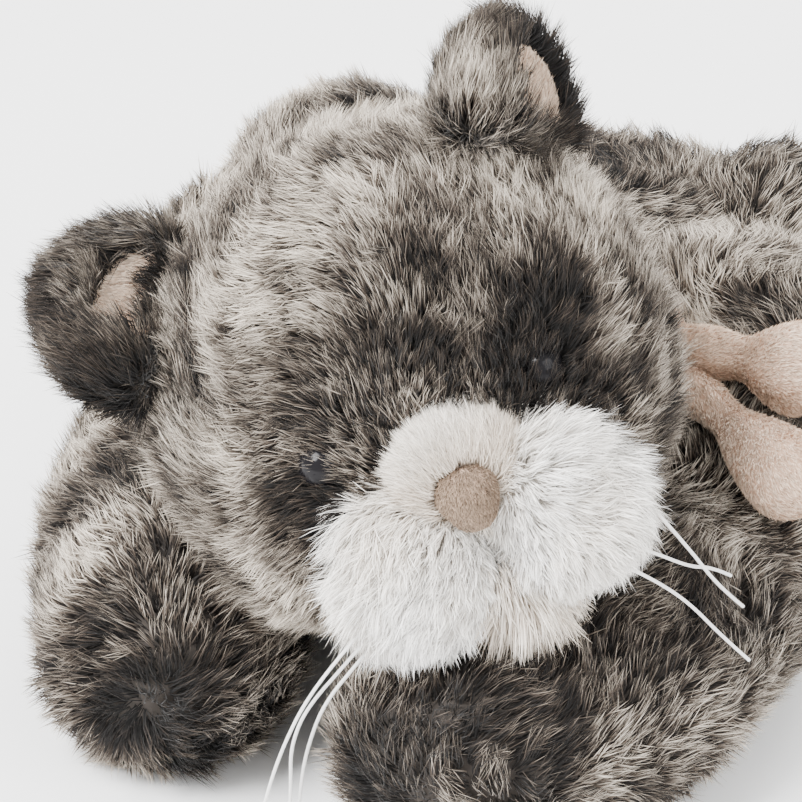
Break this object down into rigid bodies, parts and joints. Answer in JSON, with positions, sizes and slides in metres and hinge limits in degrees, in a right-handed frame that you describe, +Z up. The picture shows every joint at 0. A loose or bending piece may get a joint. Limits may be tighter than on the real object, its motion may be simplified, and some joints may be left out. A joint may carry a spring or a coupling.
{
  "type": "plush_cat",
  "caption": "Long-haired plush cat lying on its belly with its head turned aside, white muzzle, thread whiskers and a beige scarf tied in a bow",
  "frame": {"origin": "centre of the flat of the belly, on the floor the cat lies on", "axes": "+Z up; the cat's body faces -Y with its tail towards +Y; its own left side is +X"},
  "size_m": [0.246, 0.383, 0.1848],
  "materials": {
    "fur_body": "two-tone long-pile plush, dark roots and pale tips",
    "fur_muzzle": "long white pile",
    "fur_chin": "long cream pile",
    "lining": "short-pile beige velour",
    "scarf": "short-pile beige velour",
    "nose": "stitched felt pad",
    "eye": "polished dome",
    "washer": "moulded",
    "whisker": "waxed white thread",
    "filling": "loose fibre filling",
    "pellets": "woven bag of pellets"
  },
  "bodies": {
    "torso": {"torso_skin": "fur_body", "torso_filling": "filling", "pellet_bag": "pellets", "scarf_band": "scarf", "scarf_knot": "scarf", "scarf_loop_upper": "scarf", "scarf_loop_lower": "scarf"},
    "neck_ring": {"neck_sleeve": "fur_body"},
    "neck_core": {"neck_filling": "filling"},
    "head": {"head_skin": "fur_body", "head_filling": "filling", "muzzle_puff_left": "fur_muzzle", "muzzle_puff_right": "fur_muzzle", "muzzle_bridge": "fur_muzzle", "chin_tuft": "fur_chin", "nose_pad": "nose", "eye_left": "eye", "eye_right": "eye", "eye_washer_left": "washer", "eye_washer_right": "washer", "whisker_left_upper": "whisker", "whisker_left_middle": "whisker", "whisker_left_lower": "whisker", "whisker_right_outer": "whisker", "whisker_right_middle": "whisker", "whisker_right_inner": "whisker"},
    "ear_left": {"ear_back_left": "fur_body", "ear_lining_left": "lining"},
    "ear_right": {"ear_back_right": "fur_body", "ear_lining_right": "lining"},
    "front_leg_left": {"front_leg_left_skin": "fur_body", "front_leg_left_filling": "filling"},
    "front_leg_right": {"front_leg_right_skin": "fur_body", "front_leg_right_filling": "filling"},
    "hind_leg_left": {"hind_leg_left_skin": "fur_body", "hind_leg_left_filling": "filling"},
    "hind_leg_right": {"hind_leg_right_skin": "fur_body", "hind_leg_right_filling": "filling"},
    "tail": {"tail_skin": "fur_body", "tail_filling": "filling"}
  },
  "joints": [
    {"name": "head_turn", "type": "hinge", "parent": "torso", "child": "neck_ring", "pos_m": [0.003, -0.084, 0.078], "axis": [-0.4051, 0.0087, 0.9142], "range_deg": [0, 8]},
    {"name": "head_tilt", "type": "hinge", "parent": "neck_ring", "child": "neck_core", "pos_m": [0.003, -0.084, 0.078], "axis": [0.4311, -0.88, 0.1994], "range_deg": [-6, 3]},
    {"name": "head_nod", "type": "hinge", "parent": "neck_core", "child": "head", "pos_m": [0.003, -0.084, 0.078], "axis": [-0.8062, -0.4749, -0.3528], "range_deg": [0, 12], "deforming": ["whisker_left_upper", "whisker_left_middle", "whisker_left_lower", "whisker_right_outer", "whisker_right_middle", "whisker_right_inner"]},
    {"name": "ear_left_fold", "type": "hinge", "parent": "head", "child": "ear_left", "pos_m": [0.02792, -0.11686, 0.1613], "axis": [0.1645, 0.9046, -0.3933], "range_deg": [-2, 15]},
    {"name": "ear_right_fold", "type": "hinge", "parent": "head", "child": "ear_right", "pos_m": [-0.05363, -0.15464, 0.11498], "axis": [-0.1712, 0.9002, 0.4004], "range_deg": [-12, 15]},
    {"name": "front_leg_left_swing", "type": "hinge", "parent": "torso", "child": "front_leg_left", "pos_m": [0.07, -0.032, 0.054], "axis": [0, 0, 1], "range_deg": [0, 25]},
    {"name": "front_leg_right_swing", "type": "hinge", "parent": "torso", "child": "front_leg_right", "pos_m": [-0.062, -0.038, 0.058], "axis": [0, 0, 1], "range_deg": [-25, 0]},
    {"name": "hind_leg_left_swing", "type": "hinge", "parent": "torso", "child": "hind_leg_left", "pos_m": [0.068, 0.048, 0.042], "axis": [0, 0, 1], "range_deg": [-30, 0]},
    {"name": "hind_leg_right_swing", "type": "hinge", "parent": "torso", "child": "hind_leg_right", "pos_m": [-0.068, 0.05, 0.043], "axis": [0, 0, 1], "range_deg": [0, 30]},
    {"name": "tail_swing", "type": "hinge", "parent": "torso", "child": "tail", "pos_m": [0, 0.09, 0.026], "axis": [0, 0, 1], "range_deg": [-25, 12]}
  ]
}
